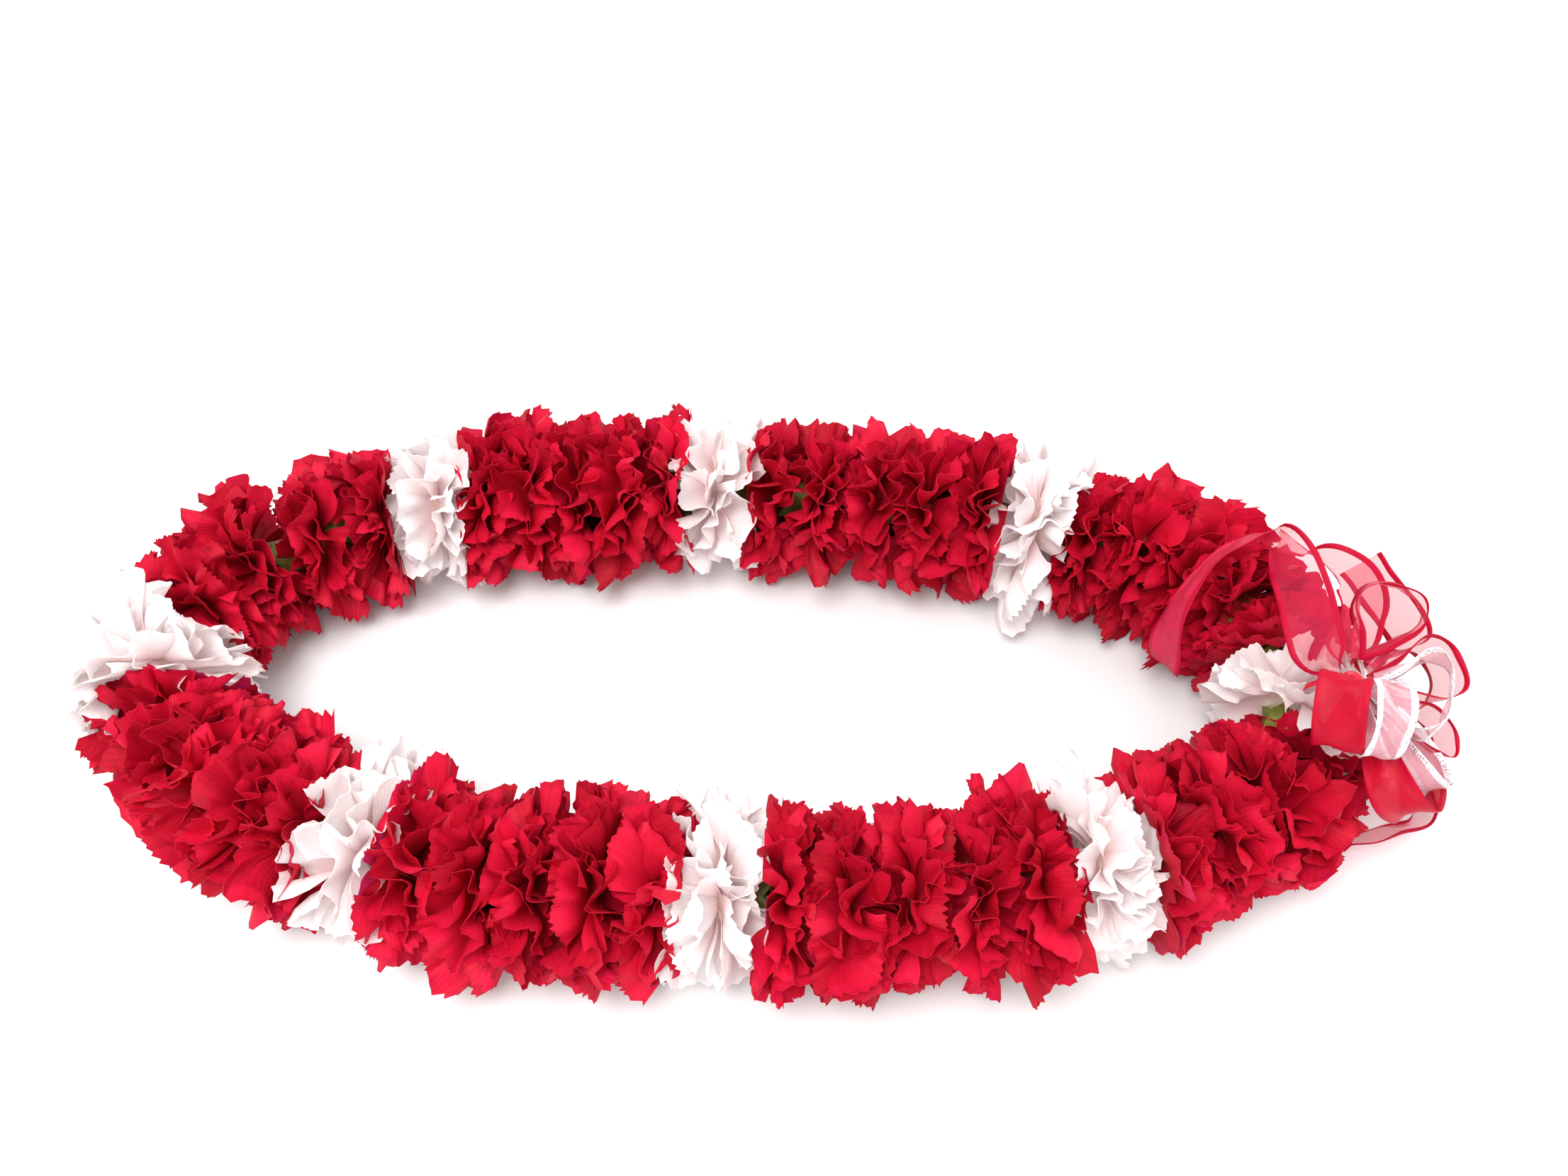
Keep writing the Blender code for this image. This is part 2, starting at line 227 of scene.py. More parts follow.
def random_petal(random, tier, place):
    count, angles, lengths, widths, bend_end, root_radius = tier
    return {
        "around": 2 * math.pi * (place + random.uniform(-0.35, 0.35)) / count,
        "length": random.uniform(*lengths) * random.choice((0.90, 0.97, 1.0, 1.04, 1.10)),
        "half_width": random.uniform(*widths),
        "claw": 0.0022,
        "start_angle": math.radians(random.uniform(8, 20)),
        "end_angle": math.radians(random.uniform(*angles)),
        "bend_end": bend_end,
        "root_radius": root_radius,
        "root_height": -CALYX_MOUTH + 0.001,
        "roll": random.choice((-1, 1)) * random.uniform(0.0, 5.5),
        "rounding": random.uniform(0.12, 0.26),
        "lobing": random.uniform(0.01, 0.05),
        "lobe_waves": random.uniform(3, 7),
        "big_ruffle": random.uniform(0.0020, 0.0048),
        "big_waves": random.uniform(2.2, 4.6),
        "mid_ruffle": random.uniform(0.0018, 0.0040),
        "mid_waves": random.uniform(5.5, 10),
        "fine_ruffle": random.uniform(0.0003, 0.0008),
        "fine_waves": random.uniform(12, 18),
        "cup": random.uniform(-0.005, 0.006),
        "twist": random.uniform(-0.9, 0.9),
        "teeth": random.uniform(0.3, 1.0, PETAL_COLUMNS) * EVERY_OTHER * random.uniform(0.03, 0.06),
        "phases": random.uniform(0, 2 * math.pi, 4),
    }


def mesh_piece(name, points, faces, across=None, along=None, tone=None):
    """An object at the origin from arrays of points and triangles, with a map for its pattern."""
    mesh = bpy.data.meshes.new(name)
    mesh.vertices.add(len(points))
    mesh.vertices.foreach_set("co", points.ravel())
    mesh.loops.add(faces.size)
    mesh.loops.foreach_set("vertex_index", faces.ravel())
    mesh.polygons.add(len(faces))
    mesh.polygons.foreach_set("loop_start", np.arange(0, faces.size, faces.shape[1]))
    mesh.polygons.foreach_set("loop_total", np.full(len(faces), faces.shape[1]))
    mesh.update(calc_edges=True)
    mesh.shade_smooth()
    mesh.set_sharp_from_angle(angle=math.radians(60))
    if across is not None:
        pattern = mesh.uv_layers.new(name="pattern")
        pattern.data.foreach_set("uv", np.stack([across, along], 1)[faces.ravel()].ravel())
    if tone is not None:
        mesh.attributes.new("tone", "FLOAT", "POINT").data.foreach_set("value", tone)
    piece = bpy.data.objects.new(name, mesh)
    bpy.context.scene.collection.objects.link(piece)
    return piece


class FlowerMaker:
    """Makes each carnation of its own petals, pressed and bent as it lies on the string."""

    def __init__(self, maker, tie):
        self.maker = maker
        self.tie = np.array(tie)

    def petals(self, tiers, random):
        points, tones = [], []
        for tier in tiers:
            for place in range(tier[0]):
                points.append(self.maker.points(random_petal(random, tier, place)))
                tones.append(random.uniform(0, 1))
        return np.concatenate(points), np.array(tones)

    def tilted(self, points, random):
        """Each bloom is turned, tilted, shifted and sized a little differently."""
        tilt = Matrix.Rotation(random.uniform(-TILT, TILT), 3, "X")
        tilt = tilt @ Matrix.Rotation(random.uniform(-TILT, TILT), 3, "Y")
        tilt = tilt @ Matrix.Rotation(random.uniform(0, 2 * math.pi), 3, "Z")
        size = random.uniform(0.95, 1.06)
        aside = random.uniform(-SIDE_SHIFT, SIDE_SHIFT, 2)
        shift = np.append(aside, random.uniform(-ALONG_SHIFT, ALONG_SHIFT))
        return size * points @ np.array(tilt).T + shift

    def pressed(self, points, seat):
        """Keeps petals off the ribbons near the bow."""
        if np.linalg.norm(seat.middle[:2] - self.tie[:2]) > NEAR_BOW:
            return points
        reach = np.linalg.norm(points[:, :2], axis=1)
        eased = NEAR_BOW_REACH * np.tanh((reach / NEAR_BOW_REACH) ** 6) ** (1 / 6)
        return points * np.stack([eased / reach, eased / reach, np.ones(len(reach))], 1)

    def crowded(self, points, room_behind, room_ahead, random):
        """Presses petals between the blooms behind and ahead, each petal a little differently."""
        along = points[:, 2] - BLOOM_MIDDLE
        size = len(self.maker.across)
        room = np.where(along > 0, room_ahead, room_behind)
        room = room * np.repeat(random.uniform(*ROOM_SPREAD, len(points) // size), size)
        pressed = np.sign(along) * room * np.tanh((np.abs(along) / room) ** 2) ** 0.5
        return np.column_stack([points[:, :2], pressed + BLOOM_MIDDLE])

    def flower(self, seats, number):
        seat = seats[number]
        random = np.random.default_rng(100 + number)
        white, white_behind, white_ahead = (
            seats[(number + step) % len(seats)].name.startswith("white") for step in (0, -1, 1)
        )
        points, tones = self.petals(WHITE_TIERS if white else RED_TIERS, random)
        if white:
            points = self.crowded(self.tilted(points, random), WHITE_ROOM, WHITE_ROOM, random)
        else:
            behind = RED_ROOM_BY_WHITE if white_behind else RED_ROOM
            ahead = RED_ROOM_BY_WHITE if white_ahead else RED_ROOM
            points = self.crowded(self.tilted(points, random), behind, ahead, random)
        size, shift = OWN_SEAT.get(seat.name, AS_USUAL)
        points = self.pressed(size * points, seat) + shift
        spots = seat.place(points)
        spots[:, 2] = 0.5 * (spots[:, 2] + np.sqrt(spots[:, 2] ** 2 + TABLE_EASE**2))
        size = len(self.maker.across)
        count = len(tones)
        faces = np.concatenate([self.maker.faces + size * i for i in range(count)])
        across = np.tile((self.maker.across + 1) / 2, count)
        along = np.tile(self.maker.along, count)
        name = seat.name.replace("carnation", "bloom")
        return mesh_piece(name, spots, faces, across, along, np.repeat(tones, size))


# ---------------------------------------------------------------- calyxes and string
CALYX_SIDES = 20
CALYX_TEETH = 5
CALYX_RIBS = 10
TOOTH_RINGS = (6, 7)
TOOTH_RISE = 0.0035
TOOTH_FLARE = 0.0012
CALYX_PROFILE = (
    (0.0016, -0.0262), (0.0042, -0.0262), (0.0050, -0.0252), (0.0060, -0.0225), (0.0071, -0.0180),
    (0.0078, -0.0140), (0.0083, -0.0112), (0.0076, -0.0106), (0.0030, -0.0118), (0.0016, -0.0135),
)


def calyx(seat, size, shift):
    """The green cup a bloom sits in, with five pointed teeth at its mouth."""
    points, faces = [], []
    rings = len(CALYX_PROFILE)
    for side in range(CALYX_SIDES):
        turn = 2 * math.pi * side / CALYX_SIDES
        tooth = 0.5 + 0.5 * math.cos(CALYX_TEETH * turn)
        rib = 1 + 0.05 * math.cos(CALYX_RIBS * turn)
        for ring, (radius, height) in enumerate(CALYX_PROFILE):
            pointed = tooth if ring in TOOTH_RINGS else 0
            lifted = height + TOOTH_RISE * pointed
            wide = radius * (rib if 2 <= ring <= 6 else 1) + TOOTH_FLARE * pointed
            points.append((wide * math.cos(turn), wide * math.sin(turn), lifted))
            along, around = (ring + 1) % rings, (side + 1) % CALYX_SIDES
            here, above = side * rings + ring, side * rings + along
            beside, across = around * rings + ring, around * rings + along
            faces.append((here, beside, across))
            faces.append((here, across, above))
    spots = seat.place(size * np.array(points) + shift)
    return mesh_piece(seat.name.replace("carnation", "calyx"), spots, np.array(faces))


STEPS_BETWEEN_FLOWERS = 10
STRING_SIDES = 8
STRING_TURNS = 130
PLY_OFFSET = 0.00042
PLY_RADIUS = 0.00046


def ring_route(seats):
    """The string's route as many points, evenly between the flowers."""
    route = []
    for seat, following in zip(seats, seats[1:] + seats[:1]):
        gap = np.linalg.norm(following.middle - seat.middle)
        for share in np.linspace(0, 1, STEPS_BETWEEN_FLOWERS, endpoint=False):
            ahead = seat.place(np.array([[0, 0, share * gap]]))[0]
            behind = following.place(np.array([[0, 0, (share - 1) * gap]]))[0]
            blend = share * share * (3 - 2 * share)
            route.append(ahead * (1 - blend) + behind * blend)
    return np.array(route)


def twisted_string(route):
    """Two plies of cotton twisted round the route, each a closed tube."""
    points, faces = [], []
    count, sides = len(route) * 2, STRING_SIDES
    closed = np.vstack([route, route[:1]])
    halves, wholes = np.arange(count) / 2, np.arange(len(closed))
    fine = np.array([np.interp(halves, wholes, closed[:, axis]) for axis in range(3)]).T
    onward = np.roll(fine, -1, axis=0) - np.roll(fine, 1, axis=0)
    onward /= np.linalg.norm(onward, axis=1)[:, None]
    flank = np.cross([0, 0, 1.0], onward)
    turns = 2 * math.pi * STRING_TURNS * np.arange(count) / count
    for ply in range(2):
        turn = turns + math.pi * ply
        centre = fine + PLY_OFFSET * (flank * np.cos(turn)[:, None] + np.outer(np.sin(turn), [0, 0, 1.0]))
        for side in range(sides):
            angle = 2 * math.pi * side / sides
            points.append(centre + PLY_RADIUS * (flank * math.cos(angle) + np.array([0, 0, math.sin(angle)])))
    rings = np.stack(points, 1)
    for ply in range(2):
        for i in range(count):
            for side in range(sides):
                a = i * 2 * sides + ply * sides + side
                b = i * 2 * sides + ply * sides + (side + 1) % sides
                c = ((i + 1) % count) * 2 * sides + ply * sides + (side + 1) % sides
                d = ((i + 1) % count) * 2 * sides + ply * sides + side
                faces.append((a, b, c))
                faces.append((a, c, d))
    return mesh_piece("cotton_string", rings.reshape(-1, 3), np.array(faces))


# ---------------------------------------------------------------- the ribbon bow
BOW_FACING = math.radians(55)
RIBBON_WIDTH = 0.020
RIBBON_THICKNESS = 0.00016
RIBBON_COLUMNS = 14
LOOP_ROWS = 72
TAIL_ROWS = 96
RIBBON_PINCH = 0.15
LOOP_GATHER = 0.30
TAIL_GATHER = 0.11
FLOWER_CLEARANCE = 0.0368
TIE_GAP = 0.0010
LEG_GAP = 0.0011
PLEAT_DEPTH = 0.2
CREASE_DEPTH = 0.0006
MILLIMETRE = 0.001

# In the bow's right, up and forward directions: the way the loop points, the way its
# width lies, its length and height, and its share of the width.
RED_LOOPS = {
    "loop_front_red": ((-0.50, -0.37, 0.79), (0.95, -0.12, 0.50), 0.028, 0.025, 0.86),
    "loop_right_red": ((0.94, 0.04, -0.31), (0.2, 0.3, 0.93), 0.036, 0.020, 0.95),
    "loop_small_red": ((0.80, -0.55, -0.22), (0.35, 0.35, 0.87), 0.042, 0.014, 0.60),
    "loop_low_red": ((0.42, -0.90, 0.10), (0.73, 0.34, 0.59), 0.045, 0.036, 0.85),
    "loop_back_red": ((0.40, 0.90, 0.15), (-0.2, 0.2, 0.93), 0.030, 0.020, 0.90),
}
WHITE_LOOPS = {
    "loop_front_white": ((-0.04, -0.43, 0.90), (0.92, -0.20, 0.35), 0.029, 0.026, 0.66),
    "loop_right_white": ((0.85, -0.20, 0.48), (-0.2, 0.3, 0.93), 0.025, 0.026, 0.80),
    "loop_low_white": ((0.55, -0.82, 0.16), (0.73, 0.45, 0.52), 0.041, 0.022, 0.66),
}
# Tails, as millimetres right, up and forward of the tie, and the ways their width lies.
FLAT = (0.8, -0.1, 0.6)
TURNING = (0.6, 0.2, 0.8)
EDGEWISE = (0.2, 0.2, 0.95)
DRAPE_ROUTE = (
    (-6, -1, 3), (-12, 6, 3), (-13, 17, -3), (-11, 31, -16), (-11, 44, -28), (-15, 52, -34),
    (-24, 53, -34), (-34, 48, -32), (-44, 40, -31), (-52, 28, -34), (-56, 15, -38), (-55, 2, -44),
)
ARCH_ROUTE = (
    (-1, 6, -3), (2, 11, -8), (9, 18, -16), (14, 27, -23),
    (15, 36, -33), (9, 42, -43), (0, 45, -49), (-13, 45, -50),
)
BACK_ROUTE = (
    (5, 5, -6), (14, 6, -22), (29, 5, -37), (41, 11, -40), (39, 21, -43), (33, 31, -46), (25, 43, -48),
)
FRONT_ROUTE = (
    (5, -8, -4.5), (11, -19, -19), (26, -34, -38), (46, -49, -43),
    (44, -59, -39), (31, -62, -37), (20, -65, -35), (10, -67, -34),
)
RED_TAILS = {
    "ribbon_drape": (DRAPE_ROUTE, (FLAT,) * 4 + (TURNING,) + (EDGEWISE,) * 5),
    "ribbon_arch": (ARCH_ROUTE, ((0.6, -0.1, 0.8),) * 2),
    "ribbon_tail_back": (BACK_ROUTE, ((0.5, 0.4, 0.8),) * 2),
    "ribbon_tail_front": (FRONT_ROUTE, ((0, 0.1, 1),) * 2),
}


def bow_vector(right, up, forward):
    """A direction in the bow's own frame, whose face looks up and to the front."""
    back = up * math.sin(BOW_FACING) - forward * math.cos(BOW_FACING)
    rise = up * math.cos(BOW_FACING) + forward * math.sin(BOW_FACING)
    return np.array((right, back, rise))


def smooth_row(points, rows):
    """Points evenly spaced on one smooth curve through the given ones."""
    knots = np.array(points)
    knots = np.vstack([2 * knots[0] - knots[1], knots, 2 * knots[-1] - knots[-2]])
    fine = []
    for i in range(1, len(knots) - 2):
        before, start, end, after = knots[i - 1 : i + 3]
        for t in np.linspace(0, 1, 20, endpoint=False):
            bend = 2 * before - 5 * start + 4 * end - after
            twist = 3 * start - before - 3 * end + after
            fine.append(0.5 * (2 * start + (end - before) * t + bend * t**2 + twist * t**3))
    fine = np.array(fine + [knots[-2]])
    steps = np.concatenate([[0], np.cumsum(np.linalg.norm(np.diff(fine, axis=0), axis=1))])
    wanted = np.linspace(0, steps[-1], rows)
    return np.stack([np.interp(wanted, steps, fine[:, axis]) for axis in range(3)], 1)


def gathered(share_from_tie, gather):
    opening = math.sin(min(1.0, share_from_tie / gather) * math.pi / 2)
    return RIBBON_WIDTH * (RIBBON_PINCH + (1 - RIBBON_PINCH) * opening**1.5)


class BowMaker:
    """Makes ribbon loops and tails that leave one tie and lie clear of the flowers."""

    def __init__(self, tie, route):
        self.tie = np.array(tie)
        self.route = route

    def clear_of_flowers(self, spots):
        spots = spots.copy()
        spots[:, 2] = np.maximum(spots[:, 2], 2 * RIBBON_THICKNESS)
        gaps = np.linalg.norm(spots[:, None, :2] - self.route[None, :, :2], axis=2)
        core = self.route[np.argmin(gaps, axis=1)]
        away = spots - core
        length = np.linalg.norm(away, axis=1)
        pushed = core + away / length[:, None] * FLOWER_CLEARANCE
        return np.where((length < FLOWER_CLEARANCE)[:, None], pushed, spots)

    def ribbon(self, name, centres, widths, sides, curl):
        """A thin closed ribbon along a row of centres, its cross section curling a little."""
        rows = len(centres)
        ends = np.arange(rows)
        runs = centres[np.minimum(ends + 1, rows - 1)] - centres[np.maximum(ends - 1, 0)]
        runs /= np.linalg.norm(runs, axis=1)[:, None]
        sides = sides - runs * (sides * runs).sum(axis=1)[:, None]
        sides /= np.linalg.norm(sides, axis=1)[:, None]
        faces_up = np.cross(sides, runs)
        across = np.linspace(-0.5, 0.5, RIBBON_COLUMNS + 1)
        bowed = curl * (across**2 - 0.08)
        grid = centres[:, None] + sides[:, None] * (across[None, :, None] * widths[:, None, None])
        grid = grid + faces_up[:, None] * (bowed[None, :, None] * widths[:, None, None])
        pleats = PLEAT_DEPTH * np.outer(widths.max() - widths, np.cos(3 * math.pi * across))
        grid = grid + faces_up[:, None] * pleats[:, :, None]
        share = np.linspace(0, 1, rows)
        creases = np.sin(np.add.outer(21 * share, 5 * across))
        creases += 0.5 * np.sin(np.add.outer(-37 * share, 9 * across))
        grid = grid + faces_up[:, None] * (CREASE_DEPTH * creases)[:, :, None]
        grid = self.clear_of_flowers(grid.reshape(-1, 3))
        columns = RIBBON_COLUMNS + 1
        faces = []
        for row in range(rows - 1):
            for column in range(RIBBON_COLUMNS):
                a = row * columns + column
                faces.append((a, a + 1, a + 1 + columns, a + columns))
        along = np.repeat(np.linspace(0, 1, rows), columns)
        piece = mesh_piece(name, grid, np.array(faces), np.tile(across + 0.5, rows), along)
        thick = piece.modifiers.new("thickness", "SOLIDIFY")
        thick.thickness = RIBBON_THICKNESS
        thick.offset = 0
        bpy.context.view_layer.objects.active = piece
        with bpy.context.temp_override(object=piece, active_object=piece):
            bpy.ops.object.modifier_apply(modifier=thick.name)
        length = float(np.linalg.norm(np.diff(centres, axis=0), axis=1).sum())
        return piece, length

    def loop(self, name, out, side, length, height, width_share, curl=0.25):
        out = unit(bow_vector(*out))
        side = bow_vector(*side)
        side = unit(side - out * side.dot(out))
        rise = np.cross(side, out)
        share = np.linspace(0, 1, LOOP_ROWS)
        turn = math.pi * (0.02 + 0.96 * share)
        swell = np.sin(turn)
        forward = TIE_RADIUS + TIE_GAP + length * swell**1.3
        lift = LEG_GAP * np.cos(turn) + 0.65 * height * np.sin(2 * turn) * swell**0.8
        centres = self.tie + np.outer(forward, out) + np.outer(lift, rise)
        widths = np.array([gathered(min(s, 1 - s), LOOP_GATHER) * width_share for s in share])
        return self.ribbon(name, centres, widths, np.tile(side, (LOOP_ROWS, 1)), curl)

    def tail(self, name, points, sides, curl=0.15):
        centres = smooth_row([self.tie + bow_vector(*p) * MILLIMETRE for p in points], TAIL_ROWS)
        ways = np.array([bow_vector(*side) for side in sides])
        shares = np.linspace(0, len(ways) - 1, TAIL_ROWS)
        turned = np.stack([np.interp(shares, range(len(ways)), ways[:, axis]) for axis in range(3)], 1)
        widths = np.array([gathered(s, TAIL_GATHER) for s in np.linspace(0, 1, TAIL_ROWS)])
        return self.ribbon(name, centres, widths, turned, curl)


KNOT_RADIUS = 0.0042
KNOT_DROP = 0.0015
KNOT_FOLDS = 11
KNOT_FOLD_DEPTH = 0.14
CORD_ROWS = 96
CORD_SIDES = 10
CORD_HALF_WIDTH = 0.0105
CORD_HALF_THICKNESS = 0.00035
CORD_HALF_BREADTH = 0.0012
CORD_ROUND_STRING = 0.0016


def bow_knot(tie):
    """The pinched middle of the bow: a short band of ribbon wrapped round, with folds."""
    bpy.ops.mesh.primitive_uv_sphere_add(segments=64, ring_count=32, radius=KNOT_RADIUS, location=(0, 0, 0))
    knot = bpy.context.object
    for vertex in knot.data.vertices:
        spot = vertex.co
        around = math.atan2(spot.y, spot.x)
        fold = 1 + KNOT_FOLD_DEPTH * math.sin(KNOT_FOLDS * around + 2.5 * spot.z / KNOT_RADIUS)
        spot.x *= fold * 1.15
        spot.y *= fold * 0.85
    tilt = Matrix.Rotation(math.radians(70), 4, "Y") @ Matrix.Rotation(0.4, 4, "X")
    knot.data.transform(Matrix.Translation(tie - Vector(bow_vector(0, KNOT_DROP, KNOT_DROP))) @ tilt)
    knot.location = (0, 0, 0)
    knot.data.shade_smooth()
    knot.name = "bow_knot"
    return knot


def tie_cord(tie, route):
    """The narrow ribbon strip that ties the bow on: round the string and back to the knot."""
    near = min(route, key=lambda spot: np.linalg.norm(spot[:2] - np.array(tie)[:2]))
    foot = np.array(near)
    out = unit(np.array(tie) - foot)
    reach = np.linalg.norm(np.array(tie) - foot) - KNOT_RADIUS
    along = unit(np.cross(out, [0.0, 0.0, 1.0]))
    across = np.cross(along, out)
    turns = np.linspace(0, 2 * math.pi, CORD_ROWS, endpoint=False)
    middle = foot + out * (reach / 2)
    height = reach / 2 + CORD_ROUND_STRING
    centres = middle + np.outer(np.cos(turns), out) * height
    centres += np.outer(np.sin(turns) * CORD_HALF_WIDTH, across)
    bands, faces = [], []
    for row, turn in enumerate(turns):
        outward = unit(np.cos(turn) * out / height + np.sin(turn) * across / CORD_HALF_WIDTH)
        for side in range(CORD_SIDES):
            angle = 2 * math.pi * side / CORD_SIDES
            aside = along * math.cos(angle) * CORD_HALF_BREADTH
            bands.append(centres[row] + outward * math.sin(angle) * CORD_HALF_THICKNESS + aside)
            here, after = row * CORD_SIDES, (row + 1) % CORD_ROWS * CORD_SIDES
            beside = (side + 1) % CORD_SIDES
            faces.append((here + side, here + beside, after + beside, after + side))
    rounds = np.repeat(turns / (2 * math.pi), CORD_SIDES)
    sides = np.tile(np.linspace(0, 1, CORD_SIDES), CORD_ROWS)
    return mesh_piece("tie_cord", np.array(bands), np.array(faces), sides, rounds)


# ---------------------------------------------------------------- finishes
class Wire:
    """A shader socket that can be used in sums."""

    def __init__(self, finish, socket):
        self.finish = finish
        self.socket = socket

    def sum(self, operation, first, second):
        return self.finish.node("ShaderNodeMath", {"operation": operation}, {0: first, 1: second})

    def __add__(self, other):
        return self.sum("ADD", self, other)

    def __radd__(self, other):
        return self.sum("ADD", other, self)

    def __sub__(self, other):
        return self.sum("SUBTRACT", self, other)

    def __rsub__(self, other):
        return self.sum("SUBTRACT", other, self)

    def __mul__(self, other):
        return self.sum("MULTIPLY", self, other)

    def __rmul__(self, other):
        return self.sum("MULTIPLY", other, self)


class Finish:
    """A material built by calls: one shader, and nodes added through one method."""

    def __init__(self, name, colour, roughness, **steady):
        self.material = bpy.data.materials.new(name)
        self.material.use_nodes = True
        self.tree = self.material.node_tree
        self.shader = self.tree.nodes["Principled BSDF"]
        self.shader.inputs["Base Color"].default_value = (*colour, 1)
        self.shader.inputs["Roughness"].default_value = roughness
        self.material.diffuse_color = (*colour, 1)
        for socket, value in steady.items():
            self.shader.inputs[socket.replace("_", " ")].default_value = value

    def node(self, kind, settings=None, inputs=None, output=0):
        made = self.tree.nodes.new(kind)
        for setting, value in (settings or {}).items():
            if setting == "stops":
                ramp = made.color_ramp
                while len(ramp.elements) < len(value):
                    ramp.elements.new(0.5)
                for element, (place, colour) in zip(ramp.elements, value):
                    element.position = place
                    element.color = (*colour, 1)
            else:
                setattr(made, setting, value)
        for socket, value in (inputs or {}).items():
            if isinstance(value, Wire):
                self.tree.links.new(value.socket, made.inputs[socket])
            else:
                made.inputs[socket].default_value = value
        return Wire(self, made.outputs[output])

    def feed(self, socket, wire):
        self.tree.links.new(wire.socket, self.shader.inputs[socket])

    def mix(self, share, first, second):
        first, second = (value if isinstance(value, Wire) else (*value, 1) for value in (first, second))
        return self.node("ShaderNodeMix", {"data_type": "RGBA"}, {0: share, 6: first, 7: second}, output=2)

    def noise(self, scale, detail=2.0, roughness=0.5):
        place = self.node("ShaderNodeTexCoord", output="Object")
        inputs = {"Vector": place, "Scale": scale, "Detail": detail, "Roughness": roughness}
        return self.node("ShaderNodeTexNoise", {}, inputs)

    def pattern(self):
        """Across and along a petal or a ribbon, each from 0 to 1."""
        chart = self.node("ShaderNodeUVMap", {"uv_map": "pattern"})
        across = self.node("ShaderNodeSeparateXYZ", {}, {0: chart})
        return across, Wire(self, across.socket.node.outputs[1])

    def ramp(self, share, *stops):
        return self.node("ShaderNodeValToRGB", {"stops": stops}, {0: share})

    def wear(self, *pieces):
        for piece in pieces:
            piece.data.materials.clear()
            piece.data.materials.append(self.material)


def petal_finish(name, deep, middle, bright, painted_shade, base, rim, glow, lift):
    finish = Finish(
        name, middle, 0.6, Specular_IOR_Level=0.18, Subsurface_Weight=glow[0], Subsurface_Radius=glow[1:],
        Subsurface_Scale=0.004,
    )
    across, along = finish.pattern()
    tone = finish.node("ShaderNodeAttribute", {"attribute_name": "tone"}, output="Fac")
    mottle = finish.noise(140, 3, 0.6)
    vein = finish.node("ShaderNodeMath", {"operation": "SINE"}, {0: across * 150 + mottle * 9})
    share = tone * 0.45 + mottle * 0.55 + vein * 0.03
    colour = finish.ramp(share, (0.25, deep), (0.5, middle), (0.75, bright))
    # Painted shade and painted reflection: towards its root, deep in the bloom, each petal turns to the
    # painted shade colour. On the red blooms it is a darker red; on the white blooms it is a pink that stands
    # in for red light reflected from the red neighbours.
    colour = finish.mix(finish.ramp(along, (0.30, (1, 1, 1)), (0.86, (0, 0, 0))), colour, painted_shade)
    colour = finish.mix(finish.ramp(along, (0.10, (1, 1, 1)), (0.34, (0, 0, 0))), colour, base)
    colour = finish.mix(finish.ramp(along, (0.94, (0, 0, 0)), (1.0, (0.5, 0.5, 0.5))), colour, rim)
    finish.feed("Base Color", colour)
    # Painted glow: the petals give off light of the painted shade colour at the strength lift, a little on
    # the white blooms and none on the red ones, which lightens their shadows.
    finish.shader.inputs["Emission Color"].default_value = (*painted_shade, 1)
    finish.shader.inputs["Emission Strength"].default_value = lift
    bump = finish.node(
        "ShaderNodeBump", {}, {"Strength": 0.35, "Distance": 0.0004, "Height": vein * 0.3 + mottle}
    )
    finish.feed("Normal", bump)
    return finish


SILVER = (0.55, 0.56, 0.60)


def ribbon_finish(name, body, edge, body_alpha, far_alpha, edge_width, glitter):
    finish = Finish(name, body, 0.5, Specular_IOR_Level=0.16)
    across, along = finish.pattern()
    from_edge = 0.5 - finish.node("ShaderNodeMath", {"operation": "ABSOLUTE"}, {0: across - 0.5})
    border = finish.ramp(from_edge, (edge_width, (1, 1, 1)), (edge_width + 0.01, (0, 0, 0)))
    weave = finish.node("ShaderNodeMath", {"operation": "SINE"}, {0: along * 900})
    body_colour = finish.mix(0.5 + 0.5 * weave, body, tuple(0.92 * part for part in body))
    cloudy = finish.ramp(finish.noise(85, 2, 0.5), (0.38, (1, 1, 1)), (0.62, (0, 0, 0)))
    body_colour = finish.mix(cloudy, body_colour, tuple(0.8 * part for part in body))
    edge_colour = edge
    if glitter:
        sparkle = finish.noise(1500, 1, 0.5)
        spots = finish.ramp(sparkle, (0.54, (0, 0, 0)), (0.60, (1, 1, 1)))
        edge_colour = finish.mix(spots, edge, SILVER)
        finish.feed("Metallic", border * spots)
    finish.feed("Base Color", finish.mix(border, body_colour, edge_colour))
    dense = finish.ramp(along, (0.42, (body_alpha,) * 3), (0.58, (far_alpha,) * 3))
    finish.feed("Alpha", border * (0.96 - dense) + dense)
    return finish


# ---------------------------------------------------------------- the object
seats = find_seats()
tie = tie_middle()
route = ring_route(seats)
petals_maker = PetalMaker()
flowers = FlowerMaker(petals_maker, tie)
# The fourth colour of each petal finish is a painted shade, and its last number is the strength of a painted
# glow.
red_petal = petal_finish(
    "red_petal", (0.40, 0.0015, 0.013), (0.60, 0.0038, 0.028), (0.74, 0.007, 0.042), (0.45, 0.002, 0.018),
    (0.40, 0.05, 0.03), (0.40, 0.002, 0.014), (0.12, 1.0, 0.3, 0.3), 0.0,
)
white_petal = petal_finish(
    "white_petal", (0.88, 0.815, 0.81), (0.925, 0.885, 0.88), (0.955, 0.935, 0.93), (0.94, 0.70, 0.70),
    (0.93, 0.91, 0.66), (0.96, 0.93, 0.925), (0.40, 1.0, 0.86, 0.84), 0.05,
)
calyx_green = Finish("calyx_green", (0.14, 0.17, 0.025), 0.45)
calyx_green.feed(
    "Base Color",
    calyx_green.ramp(calyx_green.noise(260, 3), (0.3, (0.09, 0.12, 0.015)), (0.7, (0.24, 0.27, 0.04))),
)
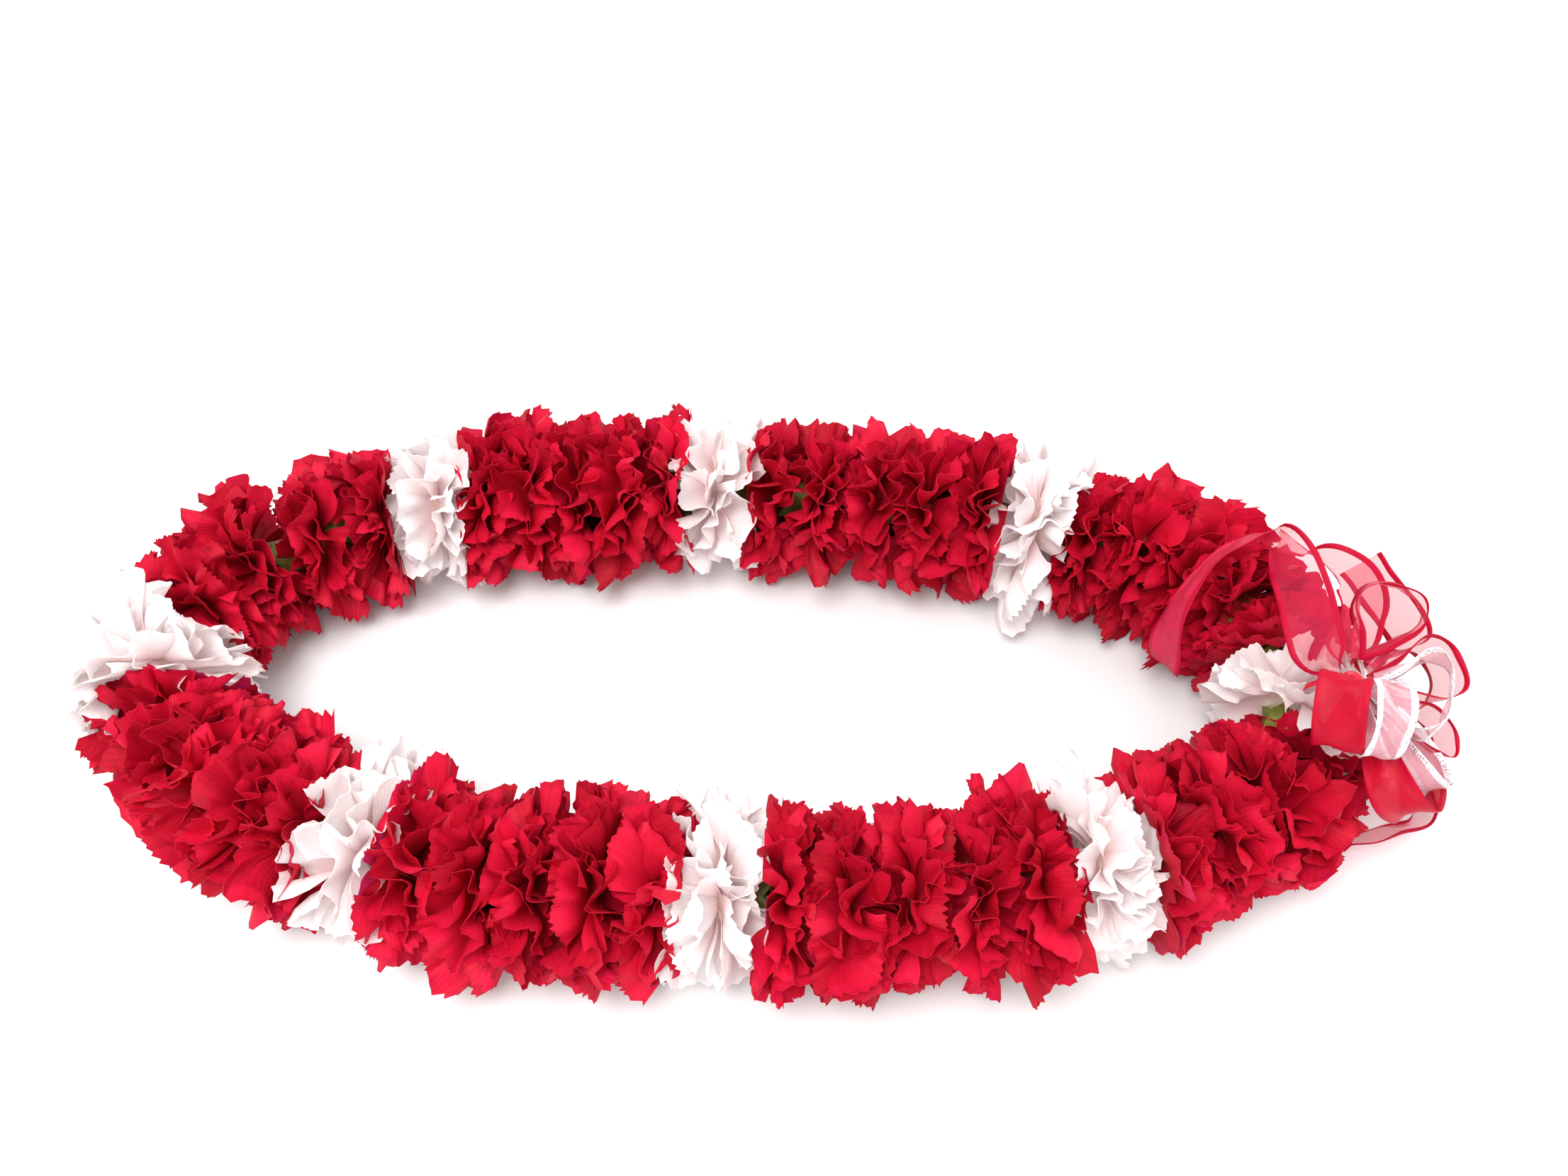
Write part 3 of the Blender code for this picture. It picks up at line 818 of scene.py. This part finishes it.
cotton = Finish("cotton_string", (0.85, 0.82, 0.74), 0.85)
sheer_red = ribbon_finish(
    "sheer_red_ribbon", (0.86, 0.05, 0.12), (0.50, 0.0015, 0.030), 0.33, 0.33, 0.11, False,
)
drape_red = ribbon_finish(
    "draped_red_ribbon", (0.78, 0.035, 0.10), (0.48, 0.0015, 0.030), 0.27, 0.62, 0.11, False,
)
dense_red = ribbon_finish(
    "dense_red_ribbon", (0.64, 0.004, 0.030), (0.50, 0.002, 0.026), 0.80, 0.80, 0.11, False,
)
white_ribbon = ribbon_finish("white_ribbon", (0.96, 0.55, 0.62), (0.95, 0.93, 0.94), 0.36, 0.36, 0.16, True)
DENSE = ("loop_front_red", "loop_low_red")
knot_red = Finish("knot_red", (0.78, 0.012, 0.045), 0.4)

for number, seat in enumerate(seats):
    bloom = flowers.flower(seats, number)
    cup = calyx(seat, *OWN_SEAT.get(seat.name, AS_USUAL))
    is_red = seat.name.startswith("red")
    (red_petal if is_red else white_petal).wear(bloom)
    calyx_green.wear(cup)
    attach(bloom, "root")
    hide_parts(seat.name)
    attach(cup, "root")
    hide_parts(seat.name)

string = twisted_string(route)
cotton.wear(string)
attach(string, "root")
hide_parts("lei_string")

bow = BowMaker(tie, route)
for loops, slot in ((RED_LOOPS, "red_ribbon"), (WHITE_LOOPS, "white_ribbon")):
    for name, (out, side, length, height, width_share) in loops.items():
        loop, run = bow.loop(name + "_cloth", out, side, length, height, width_share)
        red_look = dense_red if name in DENSE else sheer_red
        (red_look if slot == "red_ribbon" else white_ribbon).wear(loop)
        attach(loop, "root")
        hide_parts(name)
for name, (points, sides) in RED_TAILS.items():
    tail, run = bow.tail(name + "_cloth", points, sides)
    (drape_red if name == "ribbon_drape" else sheer_red).wear(tail)
    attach(tail, "root")
    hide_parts(name)

knot = bow_knot(tie)
knot_red.wear(knot)
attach(knot, "root")
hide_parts("bow_tie")
cord = tie_cord(tie, route)
knot_red.wear(cord)
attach(cord, "root")
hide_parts("bow_tie")

# ---------------------------------------------------------------- table, light and camera
bpy.ops.mesh.primitive_plane_add(size=6, location=(0, 0, 0))
table = bpy.context.object
table.name = "table"
table_white = Finish("table_white", (0.90, 0.90, 0.90), 0.7)
table_white.wear(table)

world = bpy.data.worlds.new("studio")
bpy.context.scene.world = world
world.use_nodes = True
world.node_tree.nodes["Background"].inputs["Color"].default_value = (1, 1, 1, 1)
world.node_tree.nodes["Background"].inputs["Strength"].default_value = 1.05


def soft_light(name, place, aim, size, power):
    lamp = bpy.data.lights.new(name, "AREA")
    lamp.shape = "DISK"
    lamp.size = size
    lamp.energy = power
    light = bpy.data.objects.new(name, lamp)
    light.location = place
    light.rotation_euler = (Vector(aim) - Vector(place)).to_track_quat("-Z", "Y").to_euler()
    bpy.context.scene.collection.objects.link(light)


soft_light("overhead", (-0.25, -0.35, 1.2), (0, 0, 0), 0.7, 12)
soft_light("side", (1.0, 0.5, 0.9), (0, 0, 0), 0.8, 4)

lens = bpy.data.cameras.new("camera")
lens.sensor_width = 36
lens.lens = 28.25
camera = bpy.data.objects.new("camera", lens)
camera.location = (0.0101, -0.2542, 0.4565)
aim = Vector((0.0101, 0.0655, 0.0))
camera.rotation_euler = (aim - camera.location).to_track_quat("-Z", "Y").to_euler()
bpy.context.scene.collection.objects.link(camera)
bpy.context.scene.camera = camera
bpy.context.scene.view_settings.view_transform = "Standard"
